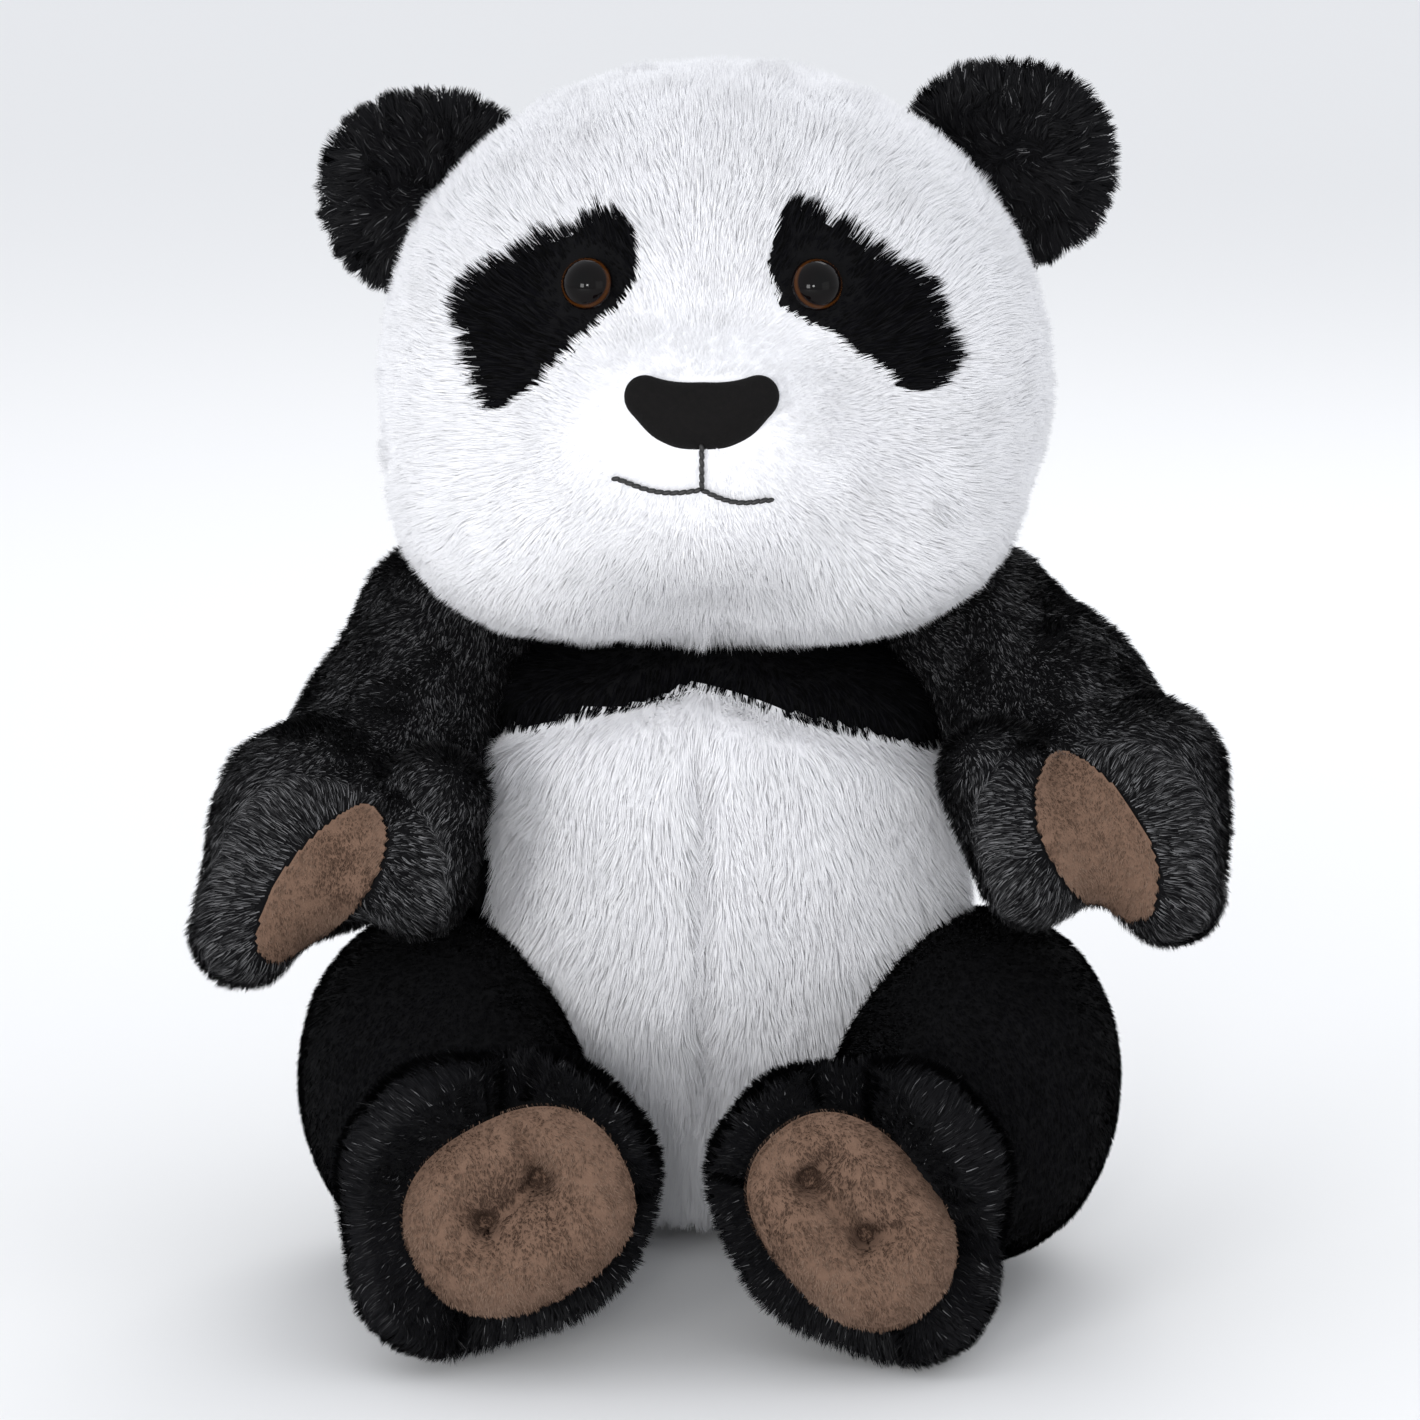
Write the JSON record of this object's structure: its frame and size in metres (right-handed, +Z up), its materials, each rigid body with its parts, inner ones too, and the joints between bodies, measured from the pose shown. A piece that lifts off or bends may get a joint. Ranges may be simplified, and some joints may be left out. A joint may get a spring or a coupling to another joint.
{
  "type": "seated plush panda",
  "caption": "Seated stuffed panda toy with a soft turning head, folding ears, swinging arms and legs, brown paw and sole pads.",
  "frame": {"origin": "on the surface the toy sits on, under the middle of its bounding box", "axes": "+Z up, the face looks along -Y, +X is the toy's own left"},
  "size_m": [0.208, 0.1661, 0.244],
  "materials": {
    "white_pile": "matte",
    "black_pile": "matte",
    "brown_plush": "matte",
    "stuffing": "matte",
    "nose_velour": "matte",
    "thread": "satin",
    "eye_plastic": "gloss",
    "washer_plastic": "satin"
  },
  "bodies": {
    "torso": {"torso_stuffing": "stuffing", "seat_panel": "black_pile", "chest_yoke": "black_pile", "belly_panel_left": "white_pile", "belly_panel_right": "white_pile", "back_panel_left": "black_pile", "back_panel_right": "black_pile"},
    "neck": {"neck_stuffing": "stuffing"},
    "head": {"head_stuffing": "stuffing", "muzzle_panel": "white_pile", "eye_patch_left": "black_pile", "eye_patch_right": "black_pile", "head_back_panel": "white_pile", "forehead_panel": "white_pile", "cheek_panel_left": "white_pile", "cheek_panel_right": "white_pile", "eye_left": "eye_plastic", "eye_right": "eye_plastic", "eye_washer_left": "washer_plastic", "eye_washer_right": "washer_plastic", "nose": "nose_velour", "mouth_stitching": "thread"},
    "ear_left": {"ear_stuffing_left": "stuffing", "ear_front_left": "black_pile", "ear_back_left": "black_pile"},
    "arm_left": {"arm_stuffing_left": "stuffing", "sleeve_back_left": "black_pile", "sleeve_palm_left": "black_pile", "paw_pad_left": "brown_plush"},
    "leg_left": {"leg_stuffing_left": "stuffing", "thigh_cover_left": "black_pile", "foot_cover_left": "black_pile", "sole_pad_left": "brown_plush", "sole_stitch_left": "thread"},
    "ear_right": {"ear_stuffing_right": "stuffing", "ear_front_right": "black_pile", "ear_back_right": "black_pile"},
    "arm_right": {"arm_stuffing_right": "stuffing", "sleeve_back_right": "black_pile", "sleeve_palm_right": "black_pile", "paw_pad_right": "brown_plush"},
    "leg_right": {"leg_stuffing_right": "stuffing", "thigh_cover_right": "black_pile", "foot_cover_right": "black_pile", "sole_pad_right": "brown_plush", "sole_stitch_right": "thread"}
  },
  "joints": [
    {"name": "neck_turn", "type": "hinge", "parent": "torso", "child": "neck", "pos_m": [0, 0.031, 0.128], "axis": [0, 0, 1], "range_deg": [-25, 25], "stiffness_Nm_per_rad": 0.5},
    {"name": "head_nod", "type": "hinge", "parent": "neck", "child": "head", "pos_m": [0, 0.031, 0.128], "axis": [-1, 0, 0], "range_deg": [-8, 15], "stiffness_Nm_per_rad": 1},
    {"name": "arm_left_swing", "type": "hinge", "parent": "torso", "child": "arm_left", "pos_m": [0.05, 0.041, 0.121], "axis": [-1, 0, 0], "range_deg": [-1, 32], "stiffness_Nm_per_rad": 0.3},
    {"name": "arm_right_swing", "type": "hinge", "parent": "torso", "child": "arm_right", "pos_m": [-0.05, 0.041, 0.121], "axis": [-1, 0, 0], "range_deg": [-1, 32], "stiffness_Nm_per_rad": 0.3},
    {"name": "leg_left_swing", "type": "hinge", "parent": "torso", "child": "leg_left", "pos_m": [0.034, 0.013, 0.038], "axis": [-1, 0, 0], "range_deg": [-4, 10], "stiffness_Nm_per_rad": 0.8},
    {"name": "leg_right_swing", "type": "hinge", "parent": "torso", "child": "leg_right", "pos_m": [-0.034, 0.013, 0.038], "axis": [-1, 0, 0], "range_deg": [-4, 10], "stiffness_Nm_per_rad": 0.8},
    {"name": "ear_left_fold", "type": "hinge", "parent": "head", "child": "ear_left", "pos_m": [0.05121, 0.05, 0.21355], "axis": [0.5914, 0, -0.8064], "range_deg": [-15, 25], "stiffness_Nm_per_rad": 0.02},
    {"name": "ear_right_fold", "type": "hinge", "parent": "head", "child": "ear_right", "pos_m": [-0.05324, 0.05, 0.20972], "axis": [0.5351, 0, 0.8448], "range_deg": [-15, 25], "stiffness_Nm_per_rad": 0.02}
  ]
}
